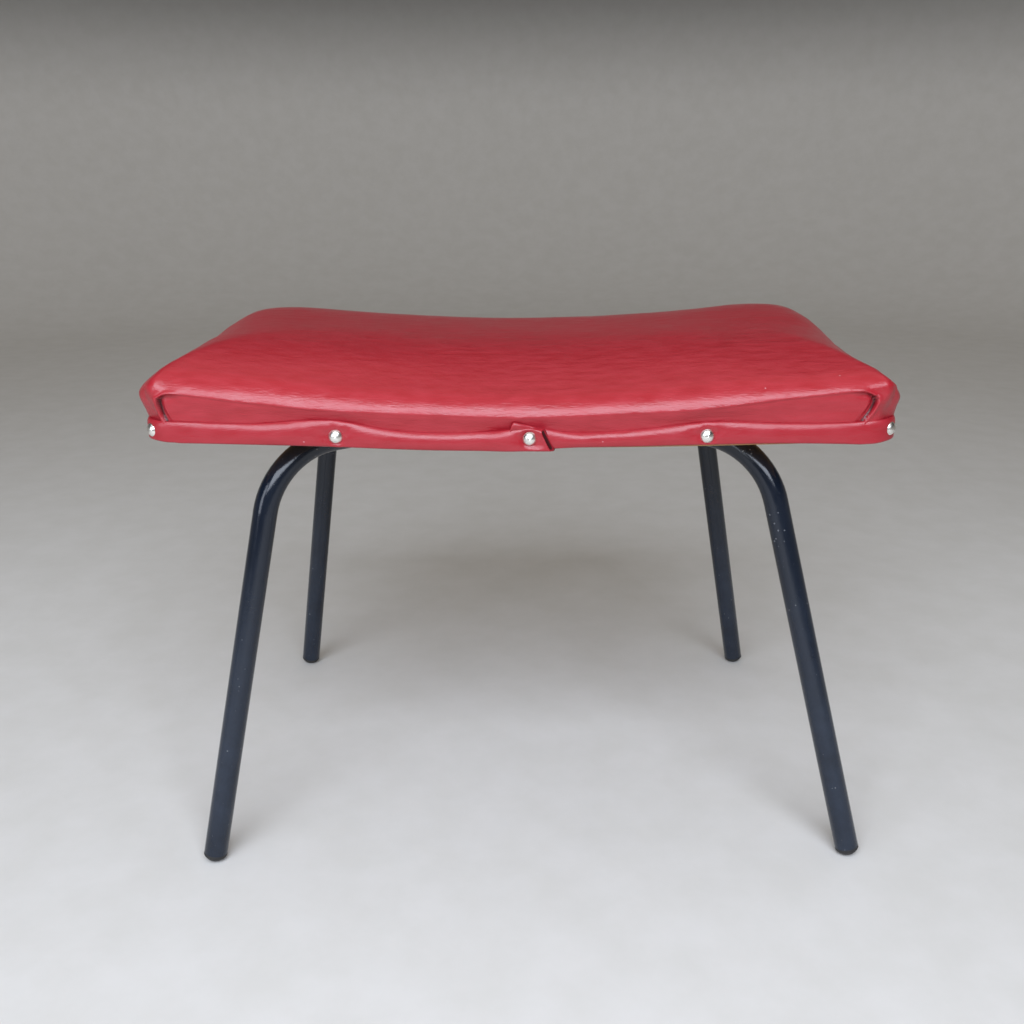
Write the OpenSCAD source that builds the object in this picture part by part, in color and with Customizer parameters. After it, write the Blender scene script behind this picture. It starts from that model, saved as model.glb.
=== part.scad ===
// Low saddle-seat stool: a bent board with a vinyl-covered cushion, carried by crossed and bent steel tubes.
// Millimetres. +Z is up, +X runs along the seat, -Y is the front.
// The origin is on the floor, straight below the middle of the seat.

/* [Seat board] */
// Width of the bent board, along X
board_w = 576; // [520:1:620]
// Depth of the board, along Y
board_d = 360; // [330:1:400]
// Thickness of the board
board_t = 14; // [12:0.5:18]
// Corner radius of the board, seen from above
board_corner_r = 20; // [17:1:24]
// How far the middle of the board hangs below its two ends
board_sag = 5.5; // [3:0.5:10]
// Height of the board's lowest underside above the floor
seat_under_h = 370; // [330:1:420]

/* [Cushion] */
// Height of the cushion over the middle of the board
pad_h = 50; // [42:1:58]
// Extra height of the cushion at its two ends
pad_saddle = 15.5; // [8:0.5:22]
// Fall of the top from its crown to the front and back edges
edge_fall = 35; // [28:1:38]
// Fall of the top from its crown to the side edges
side_fall = 29; // [22:1:34]
// How far the cushion swells out past its base
pad_swell = 5.5; // [3:0.5:7]
// How far the rounded upper edge reaches outwards
pad_edge = 8; // [7:0.5:11]
// How far the front and back panels lie behind the corner folds
panel_inset = 2; // [0:0.5:3]

/* [Vinyl and trim band] */
// Thickness of the vinyl
vinyl_t = 1.2; // [0.8:0.1:1.6]
// Thickness of the folded trim band
band_t = 2.4; // [1.8:0.1:3]
// How far the band stands up past the board's top face
band_over = 3.5; // [2:0.5:5]
// How far the band hangs below the board's underside
band_below = 1.5; // [0.5:0.5:3]
// How far the band's upper edge dips between two nails near the middle
band_dip = 6; // [0:0.5:8]
// How far the slack band puffs out between two nails
band_puff = 1.6; // [0:0.2:2.4]
// Where the covered end of the band starts, along X
lap_start = -3; // [-6:0.5:4]
// Where the end of the band that lies on top stops, along X
lap_end = 20; // [15:0.5:28]

/* [Nails and tacks] */
// Diameter of a dome nail's head
nail_head_d = 11; // [8:0.5:13]
// Height of a dome nail's head
nail_head_h = 3.2; // [2:0.2:4]
// Diameter of a dome nail's shank
nail_shank_d = 1.4; // [1:0.1:2]
// Length of a dome nail's shank
nail_shank_l = 15; // [12:0.5:18]
// Height of the nails on the board's edge, as a share of its thickness
nail_height_share = 0.64; // [0.5:0.02:0.7]
// Diameter of a cover tack's head
tack_head_d = 7; // [5:0.5:9]
// Thickness of a cover tack's head
tack_head_t = 0.8; // [0.5:0.1:1]
// Diameter of a cover tack's shank
tack_shank_d = 1.5; // [1:0.1:2]
// Length of a cover tack's shank
tack_shank_l = 9; // [6:0.5:12]

/* [Tube frame] */
// Outside diameter of the tubes
tube_d = 20; // [18:0.5:25]
// Wall of the tubes
tube_wall = 1.5; // [1:0.1:2]
// Bend radius on the centre line of the tubes
bend_r = 68; // [50:1:80]
// Direction of the through tube, from the X axis
through_angle = 36; // [30:0.5:42]
// Distance between the middle of the through tube and each of its bend corners
through_reach = 239.5; // [200:0.5:260]
// How far the through tube was welded off its middle, towards the front left
through_slip = 6.5; // [0:0.5:12]
// Lean of the through tube's two legs from upright
through_lean = 13.5; // [8:0.1:18]
// Direction of the front right tube, from the X axis
front_right_angle = 32.3; // [28:0.1:42]
// Distance between the crossing and the front right bend corner
front_right_reach = 237.5; // [200:0.5:260]
// Lean of the front right leg from upright
front_right_lean = 16.2; // [8:0.1:20]
// Direction of the rear left tube, from the X axis
rear_left_angle = 35; // [28:0.1:42]
// Distance between the crossing and the rear left bend corner
rear_left_reach = 247.5; // [200:0.5:260]
// Lean of the rear left leg from upright
rear_left_lean = 11; // [8:0.1:18]
// Leg length of the weld beads at the crossing
weld_leg = 3; // [2:0.5:5]

/* [Screws] */
// Distance of each frame screw from the crossing
screw_reach = 118; // [80:1:140]
// Diameter of the screws' shanks
screw_d = 4.5; // [3.5:0.1:6]
// Diameter of the screws' heads
screw_head_d = 9; // [8:0.5:11]
// Height of the screws' heads
screw_head_h = 3; // [2:0.1:4]
// Length of the screws under their heads
screw_l = 32; // [26:0.5:33]
// Outside diameter of the washers
washer_d = 13; // [10:0.5:16]
// Thickness of the washers
washer_t = 1.2; // [0.8:0.1:2]

/* [Feet] */
// Height of a foot's dome past its collar
dome_h = 6; // [4:0.5:8]
// Height of a foot's collar, below the tube's end
collar_h = 2; // [1:0.5:4]
// Depth to which a foot's plug goes into the tube
plug_l = 18; // [10:1:30]
// Height worn off the dome where it stands on the floor
foot_flat = 0.5; // [0.3:0.1:1]

/* [Hidden] */

$fn = 48;
sheet_fn = 256;
overrun = 1;
soft_gap = 0.3;
weld_gap = 0.2;
bend_swell = 0.1;
plug_clearance = 0.1;
screw_clearance = 0.25;
slot_w = 1.2;
slot_depth = 1.4;
screw_point_l = 4;
nail_point_l = 3;
tack_point_l = 3;

// The tubes run just below the lowest line of the board
run_z = seat_under_h - tube_d / 2;
tube_bore_d = tube_d - 2 * tube_wall;

// The board is bent about an axis along Y, high above it
bend_axis_r = (pow(board_w / 2, 2) + pow(board_sag, 2)) / (2 * board_sag);
bend_half_angle = asin((board_w / 2 + board_corner_r) / bend_axis_r);
function under_z(x) = seat_under_h + bend_axis_r - sqrt(pow(bend_axis_r, 2) - pow(x, 2));
function top_z(x) = under_z(x) + board_t;

// Half sizes and corner radius of what lies round the board, from the board outwards
base_out = soft_gap + vinyl_t;
lattice_out = base_out + pad_swell - pad_edge;
band_out = base_out + soft_gap;

// Cells of the cushion's lattice: along half of each straight side, and across each corner
cells_x = 7;
cells_y = 4;
cells_r = 3;
last_i = cells_x + cells_r;
last_j = cells_y + cells_r;
row_len = 2 * last_i + 1;

// How sharply the top turns down towards its sides, and how the two falls blend in the corners
side_power = 12;
edge_power = 4;
blend_power = 4;

// Rounding of the upper edge: share of pad_edge outwards, share of the side's height downwards
round_shares = [[0.6, 0.16], [1, 0.55]];

// Nails along the front and the back, as shares of the board's half width, and along a side
front_nail_shares = [-0.49, 0.028, 0.5];
back_nail_shares = [-0.5, 0, 0.5];
side_nail_shares = [-0.34, 0.34];
tack_shares = [1 / 6, 1 / 2, 5 / 6];

function corner_share(i, straight) = max(0, abs(i) - straight) / cells_r;
function corner_turn(cu, cv) =
    cu == 0 && cv == 0 ? 0
    : cv >= cu ? 90 - 45 * cu / cv
    : 45 * cv / cu;

// A point of the lattice that fills the board's outline moved outwards by out
function lattice(i, j, out) =
    let(cu = corner_share(i, cells_x), cv = corner_share(j, cells_y))
    let(reach = (board_corner_r + out) * max(cu, cv), turn = corner_turn(cu, cv))
    let(x = (board_w / 2 - board_corner_r) * min(abs(i) / cells_x, 1) + reach * cos(turn) * sign(cu))
    let(y = (board_d / 2 - board_corner_r) * min(abs(j) / cells_y, 1) + reach * sin(turn) * sign(cv))
    [sign(i) * x, sign(j) * y];

// Height of the cushion's skin over the floor at a lattice point
function crown_z(i, j) =
    let(p = lattice(i, j, lattice_out))
    let(u = abs(p[0]) / (board_w / 2 + lattice_out), v = abs(p[1]) / (board_d / 2 + lattice_out))
    let(fall_x = side_fall * pow(u, side_power), fall_y = edge_fall * pow(v, edge_power))
    let(fall = pow(pow(fall_x, blend_power) + pow(fall_y, blend_power), 1 / blend_power))
    top_z(p[0]) + pad_h + pad_saddle * pow(u, 2) - fall;

// The lattice's border, anticlockwise from above, from the front left corner
border = concat(
    [for (i = [-last_i:last_i - 1]) [i, -last_j]],
    [for (j = [-last_j:last_j - 1]) [last_i, j]],
    [for (i = [last_i:-1:-last_i + 1]) [i, last_j]],
    [for (j = [last_j:-1:-last_j + 1]) [-last_i, j]]
);

function on_panel(b) = abs(b[1]) == last_j && abs(b[0]) <= cells_x ? pow(b[0] / cells_x, 2) : 0;

// A ring of the side: out and down are the shares of round_shares
function side_ring(out_share, down_share, inset, skin) = [
    for (b = border)
        let(out = lattice_out + pad_edge * out_share - inset * on_panel(b) - skin)
        let(p = lattice(b[0], b[1], out))
        let(crease = crown_z(b[0], b[1]) - skin, low = top_z(p[0]) + band_over)
        [p[0], p[1], crease - down_share * (crease - low)]
];

function base_ring(skin, z_of_x) = [
    for (b = border)
        let(p = lattice(b[0], b[1], base_out - skin))
        [p[0], p[1], z_of_x(p[0])]
];

// The cushion's skin, skin deep inside its outer face: the top lattice, then the rings of the side
function top_points(skin) = [
    for (j = [-last_j:last_j], i = [-last_i:last_i])
        let(p = lattice(i, j, lattice_out - skin))
        [p[0], p[1], crown_z(i, j) - skin]
];
function skin_points(skin, foot_z) = concat(
    top_points(skin),
    side_ring(round_shares[0][0], round_shares[0][1], 0, skin),
    side_ring(round_shares[1][0], round_shares[1][1], panel_inset, skin),
    base_ring(skin, function(x) top_z(x) + band_over),
    base_ring(skin, foot_z)
);

top_count = row_len * (2 * last_j + 1);
loop_count = len(border);
ring_count = 4;
skin_count = top_count + ring_count * loop_count;

function at(i, j) = (i + last_i) + (j + last_j) * row_len;
border_at = [for (b = border) at(b[0], b[1])];
function ring_at(ring, k) =
    ring == 0 ? border_at[k % loop_count] : top_count + (ring - 1) * loop_count + k % loop_count;

function quad(a, b, c, d) = [[a, b, c], [a, c, d]];
function flip(faces) = [for (f = faces) [f[2], f[1], f[0]]];
function shift(faces, by) = [for (f = faces) [for (n = f) n + by]];

lattice_faces = [
    for (j = [-last_j:last_j - 1], i = [-last_i:last_i - 1])
        each quad(at(i, j), at(i, j + 1), at(i + 1, j + 1), at(i + 1, j))
];
skin_faces = concat(
    lattice_faces,
    [
        for (ring = [0:ring_count - 1], k = [0:loop_count - 1])
            each quad(ring_at(ring, k), ring_at(ring, k + 1), ring_at(ring + 1, k + 1), ring_at(ring + 1, k))
    ]
);

module plan(out) {
    w = board_w + 2 * out;
    d = board_d + 2 * out;
    r = board_corner_r + out;
    square([w - 2 * r, d], center = true);
    square([w, d - 2 * r], center = true);
    for (x = [-1, 1], y = [-1, 1])
        translate([x * (w / 2 - r), y * (d / 2 - r)])
            circle(r = r);
}

// Turns a piece that points along +Z so that it points inwards from the edge at a place
module driven(place) {
    translate([place[0], place[1], place[2]])
        rotate([0, 0, place[3]])
            rotate([0, -90, 0])
                children();
}

// A place on the edge: x, y, z and the outward direction's angle, out past the board
function edge_place(x, y, turn, out, height) =
    [x + out * cos(turn), y + out * sin(turn), under_z(x) + height, turn];
function corner_place(sx, sy, out, height) =
    let(r = board_corner_r, turn = atan2(sy, sx))
    edge_place(
        sx * (board_w / 2 - r) + r * cos(turn), sy * (board_d / 2 - r) + r * sin(turn),
        turn, out, height
    );
function middles(ends) = [
    for (k = [0:len(ends) - 2], share = tack_shares) ends[k] + (ends[k + 1] - ends[k]) * share
];

front_nail_xs = [for (share = front_nail_shares) share * board_w / 2];
back_nail_xs = [for (share = back_nail_shares) share * board_w / 2];
side_nail_ys = [for (share = side_nail_shares) share * board_d / 2];
straight_x = board_w / 2 - board_corner_r;
straight_y = board_d / 2 - board_corner_r;
lap_lift = band_t + soft_gap;

function nail_lift(x) = x > lap_start && x < lap_end ? lap_lift : 0;
nail_z = nail_height_share * board_t;
nail_places = concat(
    [for (x = front_nail_xs) edge_place(x, -board_d / 2, -90, band_out + band_t + nail_lift(x), nail_z)],
    [for (x = back_nail_xs) edge_place(x, board_d / 2, 90, band_out + band_t, nail_z)],
    [
        for (sx = [-1, 1], y = side_nail_ys)
            edge_place(sx * board_w / 2, y, sx > 0 ? 0 : 180, band_out + band_t, nail_z)
    ],
    [for (sx = [-1, 1], sy = [-1, 1]) corner_place(sx, sy, band_out + band_t, nail_z)]
);
tack_places = concat(
    [
        for (x = middles(concat([-straight_x], front_nail_xs, [straight_x])))
            edge_place(x, -board_d / 2, -90, base_out, board_t / 2)
    ],
    [
        for (x = middles(concat([-straight_x], back_nail_xs, [straight_x])))
            edge_place(x, board_d / 2, 90, base_out, board_t / 2)
    ],
    [
        for (sx = [-1, 1], y = middles(concat([-straight_y], side_nail_ys, [straight_y])))
            edge_place(sx * board_w / 2, y, sx > 0 ? 0 : 180, base_out, board_t / 2)
    ]
);

// Arms of the frame: direction, distance of the bend corner and lean
front_left = [through_angle + 180, through_reach + through_slip, through_lean];
rear_right = [through_angle, through_reach - through_slip, through_lean];
front_right = [-front_right_angle, front_right_reach, front_right_lean];
rear_left = [180 - rear_left_angle, rear_left_reach, rear_left_lean];
arms = [front_left, rear_right, front_right, rear_left];

// The foot's dome is part of a ball as wide as the tube at its collar
ball_r = (pow(tube_d / 2, 2) + pow(dome_h, 2)) / (2 * dome_h);
ball_z = ball_r - foot_flat;
collar_z = dome_h - ball_r + collar_h;

function bend_start(arm) = arm[1] - bend_r * tan((90 - arm[2]) / 2);
function leg_len(arm) =
    let(bend_end_z = run_z - bend_r + bend_r * sin(arm[2]), tube_end_z = ball_z + collar_z * cos(arm[2]))
    (bend_end_z - tube_end_z) / cos(arm[2]);

module tube_section(swell) {
    difference() {
        circle(d = tube_d + swell);
        circle(d = tube_bore_d - swell);
    }
}

// The bend and the leg of one arm, in the upright plane that the arm lies in
module bent_leg(arm) {
    lean = arm[2];
    translate([bend_start(arm), 0, run_z - bend_r]) {
        rotate([90, 0, 0])
            rotate([0, 0, lean])
                rotate_extrude(angle = 90 - lean)
                    translate([bend_r, 0])
                        tube_section(bend_swell);
        rotate([0, -lean, 0])
            translate([bend_r, 0, -leg_len(arm)])
                linear_extrude(leg_len(arm) + overrun)
                    tube_section(0);
    }
}

module along_run(from, to) {
    translate([from, 0, run_z])
        rotate([0, 90, 0])
            linear_extrude(to - from)
                children();
}

// An upright bore for the frame screw of an arm
module screw_bore() {
    translate([screw_reach, 0, run_z - tube_d])
        cylinder(d = screw_d + 2 * screw_clearance, h = 2 * tube_d);
}

module half_tube(arm) {
    difference() {
        rotate([0, 0, arm[0]])
            difference() {
                union() {
                    along_run(0, bend_start(arm) + overrun)
                        tube_section(0);
                    bent_leg(arm);
                }
                screw_bore();
            }
        rotate([0, 0, through_angle])
            along_run(-2 * tube_d, 2 * tube_d)
                circle(r = tube_d / 2 + weld_gap);
    }
}

// The weld beads on both sides of a half tube, ground flush with the tubes above and below
module weld_beads(arm) {
    difference() {
        intersection() {
            rotate([0, 0, arm[0]])
                along_run(weld_leg, 2 * tube_d)
                    circle(r = tube_d / 2 + weld_leg);
            rotate([0, 0, through_angle])
                along_run(-2 * tube_d, 2 * tube_d)
                    circle(r = tube_d / 2 + weld_leg);
            translate([0, 0, run_z])
                cube([4 * tube_d, 4 * tube_d, tube_d - 2 * weld_gap], center = true);
        }
        rotate([0, 0, arm[0]])
            along_run(-overrun, 3 * tube_d)
                circle(d = tube_d);
        rotate([0, 0, through_angle])
            along_run(-3 * tube_d, 3 * tube_d)
                circle(d = tube_d);
    }
}

module at_screw(arm) {
    rotate([0, 0, arm[0]])
        translate([screw_reach, 0, run_z - tube_d / 2])
            children();
}

module foot(arm) {
    lean = arm[2];
    ball_x = arm[1] + (run_z - ball_z) * tan(lean);
    rotate([0, 0, arm[0]])
        intersection() {
            translate([ball_x, 0, ball_z])
                rotate([0, -lean, 0]) {
                    intersection() {
                        sphere(r = ball_r);
                        translate([0, 0, -ball_r])
                            cylinder(r = ball_r, h = dome_h);
                    }
                    translate([0, 0, dome_h - ball_r])
                        cylinder(d = tube_d, h = collar_h);
                    translate([0, 0, collar_z])
                        cylinder(d = tube_bore_d - 2 * plug_clearance, h = plug_l);
                }
            translate([ball_x - 2 * tube_d, -tube_d, 0])
                cube([4 * tube_d, 2 * tube_d, 4 * plug_l]);
        }
}

// The bent board, with a pilot bore for each frame screw
module seat_board() {
    color("burlywood")
        difference() {
            intersection() {
                for (side = [0, 1])
                    mirror([side, 0, 0])
                        translate([0, board_d, seat_under_h + bend_axis_r])
                            rotate([90, 0, 0])
                                rotate([0, 0, -90])
                                    rotate_extrude(angle = bend_half_angle, $fn = sheet_fn)
                                        translate([bend_axis_r - board_t, 0])
                                            square([board_t, 2 * board_d]);
                translate([0, 0, seat_under_h - overrun])
                    linear_extrude(board_t + board_sag + 2 * overrun)
                        plan(0);
            }
            for (arm = arms)
                at_screw(arm)
                    translate([0, 0, -washer_t])
                        cylinder(d = screw_d, h = screw_l);
        }
}

// The foam under the cover: crowned, low in the middle and high at its ends
module foam_pad() {
    skin = vinyl_t + soft_gap;
    floor_points = [
        for (j = [-last_j:last_j], i = [-last_i:last_i])
            let(p = lattice(i, j, base_out - skin))
            [p[0], p[1], top_z(p[0]) + soft_gap]
    ];
    inner_at = [for (n = border_at) n + skin_count];
    rim = [
        for (k = [0:loop_count - 1])
            each quad(
                ring_at(ring_count - 1, k), ring_at(ring_count - 1, k + 1),
                inner_at[(k + 1) % loop_count], inner_at[k]
            )
    ];
    upper = [for (f = skin_faces) if (max(f) < skin_count - loop_count) f];
    color("khaki")
        polyhedron(
            concat(skin_points(skin, function(x) top_z(x) + soft_gap), floor_points),
            concat(upper, rim, shift(flip(lattice_faces), skin_count))
        );
}

// The vinyl cover: one skin over the foam and down the board's edge
module seat_cover() {
    hem_z = function(x) under_z(x) + band_below;
    rim = [
        for (k = [0:loop_count - 1])
            each quad(
                ring_at(ring_count, k), ring_at(ring_count, k + 1),
                ring_at(ring_count, k + 1) + skin_count, ring_at(ring_count, k) + skin_count
            )
    ];
    color("firebrick")
        polyhedron(
            concat(skin_points(0, hem_z), skin_points(vinyl_t, hem_z)),
            concat(skin_faces, rim, shift(flip(skin_faces), skin_count))
        );
}

// How slack the band is at a place between two nails: 0 at a nail, 1 halfway near the middle
function slack(x, nail_xs) =
    let(ends = concat([-board_w / 2], nail_xs, [board_w / 2]))
    let(before = max([for (e = ends) if (e <= x) e]), after = min([for (e = ends) if (e > x) e]))
    (1 - cos(360 * (x - before) / (after - before))) / 2 * pow(1 - pow(2 * x / board_w, 2), 3);

// Stations of the band: x, y, outward angle, slack and lift, once round from its covered end
band_steps = 16;
side_steps = 12;
turn_steps = 2 * cells_r;
lap_ramp = 20;

function band_corner(sx, sy, from) = [
    for (k = [1:turn_steps - 1])
        let(turn = from + 90 * k / turn_steps)
        [
            sx * straight_x + board_corner_r * cos(turn), sy * straight_y + board_corner_r * sin(turn),
            turn, 0, 0
        ]
];
function lap_lift_at(x) = lap_lift * min(1, max(0, (x - lap_start + lap_ramp) / lap_ramp));
stations = concat(
    [
        for (k = [0:band_steps])
            let(x = lap_start + (straight_x - lap_start) * k / band_steps)
            [x, -board_d / 2, -90, slack(x, front_nail_xs), 0]
    ],
    band_corner(1, -1, -90),
    [for (k = [0:side_steps]) [board_w / 2, straight_y * (2 * k / side_steps - 1), 0, 0, 0]],
    band_corner(1, 1, 0),
    [
        for (k = [0:2 * band_steps])
            let(x = straight_x * (1 - k / band_steps))
            [x, board_d / 2, 90, slack(x, back_nail_xs), 0]
    ],
    band_corner(-1, 1, 90),
    [for (k = [0:side_steps]) [-board_w / 2, straight_y * (1 - 2 * k / side_steps), 180, 0, 0]],
    band_corner(-1, -1, 180),
    [
        for (k = [0:band_steps + 2])
            let(x = (lap_end + straight_x) * k / (band_steps + 2) - straight_x)
            [x, -board_d / 2, -90, slack(x, front_nail_xs), lap_lift_at(x)]
    ]
);

// The band's section, from its inner lower edge outwards and up: shares of thickness, height and puff
section_shares = [
    [0, 0.06, 0], [0.3, 0, 0], [0.7, 0, 0], [1, 0.06, 0],
    [1, 0.5, 1], [1, 0.94, 0], [0.7, 1, 0], [0.3, 1, 0], [0, 0.94, 0],
];

// The trim band: a folded strip round the cover's lower edge, with one end lapped over the other
module trim_band() {
    points = [
        for (s = stations, share = section_shares)
            let(out = band_out + s[4] + band_t * share[0] + band_puff * s[3] * share[2])
            let(height = board_t + band_over + band_below - band_dip * s[3])
            [
                s[0] + out * cos(s[2]), s[1] + out * sin(s[2]),
                under_z(s[0]) - band_below + height * share[1]
            ]
    ];
    n = len(section_shares);
    last = (len(stations) - 1) * n;
    sides = [
        for (k = [0:len(stations) - 2], m = [0:n - 1])
            let(a = k * n + m, b = k * n + (m + 1) % n)
            each quad(a, b, b + n, a + n)
    ];
    start_cap = [for (m = [1:n - 2]) [0, m + 1, m]];
    end_cap = [for (m = [1:n - 2]) [last, last + m, last + m + 1]];
    color("indianred")
        polyhedron(points, concat(sides, start_cap, end_cap));
}

// Nickel-plated dome nails through the band into the board's edge
module dome_nails() {
    cap_r = (pow(nail_head_d / 2, 2) + pow(nail_head_h, 2)) / (2 * nail_head_h);
    color("gainsboro")
        for (place = nail_places)
            driven(place) {
                intersection() {
                    translate([0, 0, cap_r - nail_head_h])
                        sphere(r = cap_r);
                    translate([0, 0, -nail_head_h])
                        cylinder(d = nail_head_d, h = nail_head_h);
                }
                cylinder(d = nail_shank_d, h = nail_shank_l - nail_point_l);
                translate([0, 0, nail_shank_l - nail_point_l])
                    cylinder(d1 = nail_shank_d, d2 = 0, h = nail_point_l, $fn = 24);
            }
}

// Flat-headed tacks that hold the cover to the board's edge, under the band
module cover_tacks() {
    color("dimgray")
        for (place = tack_places)
            driven(place) {
                cylinder(d = tack_head_d, h = tack_head_t);
                cylinder(d = tack_shank_d, h = tack_shank_l - tack_point_l);
                translate([0, 0, tack_shank_l - tack_point_l])
                    cylinder(d1 = tack_shank_d, d2 = 0, h = tack_point_l, $fn = 24);
            }
}

// One tube from the front left foot, under the seat, to the rear right foot
module through_tube() {
    color("darkslategray")
        rotate([0, 0, through_angle])
            difference() {
                union() {
                    along_run(-bend_start(front_left) - overrun, bend_start(rear_right) + overrun)
                        tube_section(0);
                    bent_leg(rear_right);
                    rotate([0, 0, 180])
                        bent_leg(front_left);
                }
                screw_bore();
                rotate([0, 0, 180])
                    screw_bore();
            }
}

module front_right_tube() {
    color("darkslategray")
        half_tube(front_right);
}

module rear_left_tube() {
    color("darkslategray")
        half_tube(rear_left);
}

module crossing_welds() {
    color("dimgray") {
        weld_beads(front_right);
        weld_beads(rear_left);
    }
}

// Slotted pan-head screws up through the tubes into the board
module frame_screws() {
    cap_r = (pow(screw_head_d / 2, 2) + pow(screw_head_h, 2)) / (2 * screw_head_h);
    color("silver")
        for (arm = arms)
            at_screw(arm)
                translate([0, 0, -washer_t]) {
                    difference() {
                        intersection() {
                            translate([0, 0, cap_r - screw_head_h])
                                sphere(r = cap_r);
                            translate([0, 0, -screw_head_h])
                                cylinder(d = screw_head_d, h = screw_head_h);
                        }
                        translate([-screw_head_d, -slot_w / 2, -screw_head_h - overrun])
                            cube([2 * screw_head_d, slot_w, slot_depth + overrun]);
                    }
                    cylinder(d = screw_d, h = screw_l - screw_point_l);
                    translate([0, 0, screw_l - screw_point_l])
                        cylinder(d1 = screw_d, d2 = 0, h = screw_point_l, $fn = 24);
                }
}

module screw_washers() {
    color("lightgray")
        for (arm = arms)
            at_screw(arm)
                translate([0, 0, -washer_t])
                    difference() {
                        cylinder(d = washer_d, h = washer_t);
                        translate([0, 0, -overrun])
                            cylinder(d = screw_d + 2 * screw_clearance, h = washer_t + 2 * overrun);
                    }
}

module front_left_foot() {
    color("black")
        foot(front_left);
}

module front_right_foot() {
    color("black")
        foot(front_right);
}

module rear_left_foot() {
    color("black")
        foot(rear_left);
}

module rear_right_foot() {
    color("black")
        foot(rear_right);
}

seat_board();
foam_pad();
seat_cover();
trim_band();
dome_nails();
cover_tacks();
through_tube();
front_right_tube();
rear_left_tube();
crossing_welds();
frame_screws();
screw_washers();
front_left_foot();
front_right_foot();
rear_left_foot();
rear_right_foot();
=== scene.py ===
"""Looks of a low saddle-seat stool: vinyl cushion, nailed trim band, bent board and bent tube frame."""

import math

import bpy
import numpy as np
from bpy.props import FloatProperty, PointerProperty, StringProperty
from mathutils import Matrix, Vector, kdtree, noise


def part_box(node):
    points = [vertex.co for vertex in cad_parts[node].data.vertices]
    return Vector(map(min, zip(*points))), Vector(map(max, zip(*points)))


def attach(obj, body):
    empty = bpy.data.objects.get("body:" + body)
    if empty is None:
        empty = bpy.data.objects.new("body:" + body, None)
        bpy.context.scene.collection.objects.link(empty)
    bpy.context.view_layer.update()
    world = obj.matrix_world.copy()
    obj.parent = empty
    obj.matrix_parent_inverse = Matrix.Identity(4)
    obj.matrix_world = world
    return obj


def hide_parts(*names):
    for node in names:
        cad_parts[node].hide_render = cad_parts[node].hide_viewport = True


bl_info = {
    "name": "Shop stool with a vinyl saddle seat",
    "version": (1, 0, 0),
    "blender": (4, 5, 0),
    "location": "3D View > Sidebar > Stool",
    "description": "Builds the cushion, the trim band and the finishes of a low stool round its frame",
    "category": "Object",
}

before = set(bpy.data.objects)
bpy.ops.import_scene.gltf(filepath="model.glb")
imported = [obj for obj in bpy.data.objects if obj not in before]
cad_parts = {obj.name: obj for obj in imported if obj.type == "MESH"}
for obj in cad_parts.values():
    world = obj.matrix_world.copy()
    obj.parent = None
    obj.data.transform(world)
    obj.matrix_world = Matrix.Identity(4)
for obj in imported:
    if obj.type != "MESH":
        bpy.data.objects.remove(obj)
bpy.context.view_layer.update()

MM = 0.001

# Places on the seat, in metres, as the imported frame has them
BOARD_LOW, BOARD_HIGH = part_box("seat_board")
HALF_W = BOARD_HIGH.x
HALF_D = BOARD_HIGH.y
BOARD_T = 14 * MM
SAG = BOARD_HIGH.z - BOARD_LOW.z - BOARD_T
CORNER_R = 20 * MM
STRAIGHT_X = HALF_W - CORNER_R
STRAIGHT_Y = HALF_D - CORNER_R
UNDER_Z = BOARD_LOW.z


def under_z(x):
    """Height of the board's underside: the board is bent about an axis along Y."""
    radius = (HALF_W**2 + SAG**2) / (2 * SAG)
    return UNDER_Z + radius - np.sqrt(radius**2 - np.square(x))


def top_z(x):
    return under_z(x) + BOARD_T


def smooth(low, high, value):
    """0 below low, 1 above high, and an even S between them."""
    t = np.clip((np.asarray(value, float) - low) / (high - low), 0.0, 1.0)
    return t * t * (3 - 2 * t)


def bell(distance, width):
    """1 at no distance, about a third at the width, and fading to 0."""
    return np.exp(-((distance / width) ** 2))


# Meshes


def show_mesh(name, points, faces, materials, painted_shade=None):
    """A new smooth-shaded mesh object at the origin, in the scene's own collection."""
    mesh = bpy.data.meshes.new(name)
    mesh.from_pydata([tuple(p) for p in points], [], faces)
    mesh.update()
    for material in materials:
        mesh.materials.append(material)
    mesh.shade_smooth()
    # The painted shade goes into a point attribute that the vinyl reads
    if painted_shade is not None:
        mesh.attributes.new("painted_shade", "FLOAT", "POINT").data.foreach_set("value", painted_shade)
    made = bpy.data.objects.new(name, mesh)
    bpy.context.scene.collection.objects.link(made)
    return made


def ring_faces(first, second):
    """Quads between two closed rings of vertex numbers, the first one above or inside."""
    count = len(first)
    return [
        (first[k], second[k], second[(k + 1) % count], first[(k + 1) % count])
        for k in range(count)
    ]


# Node materials


def linear(hex_colour):
    """An sRGB hex colour as linear red, green, blue and alpha."""
    channels = [int(hex_colour[k : k + 2], 16) / 255 for k in (1, 3, 5)]
    return (*[c / 12.92 if c <= 0.04045 else ((c + 0.055) / 1.055) ** 2.4 for c in channels], 1.0)


def add(tree, kind, settings=None, sockets=None):
    """Adds a node, sets what it is, and fills or links its inputs."""
    made = tree.nodes.new(kind)
    for key, value in (settings or {}).items():
        setattr(made, key, value)
    for key, value in (sockets or {}).items():
        if isinstance(value, bpy.types.NodeSocket):
            tree.links.new(value, made.inputs[key])
        else:
            made.inputs[key].default_value = value
    return made


def new_material(name):
    """An empty node material, its surface shader and the object coordinates in metres."""
    material = bpy.data.materials.new(name)
    material.use_nodes = True
    tree = material.node_tree
    tree.nodes.clear()
    shader = add(tree, "ShaderNodeBsdfPrincipled")
    add(tree, "ShaderNodeOutputMaterial", None, {"Surface": shader.outputs["BSDF"]})
    where = add(tree, "ShaderNodeTexCoord").outputs["Object"]
    return material, tree, shader, where


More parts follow.
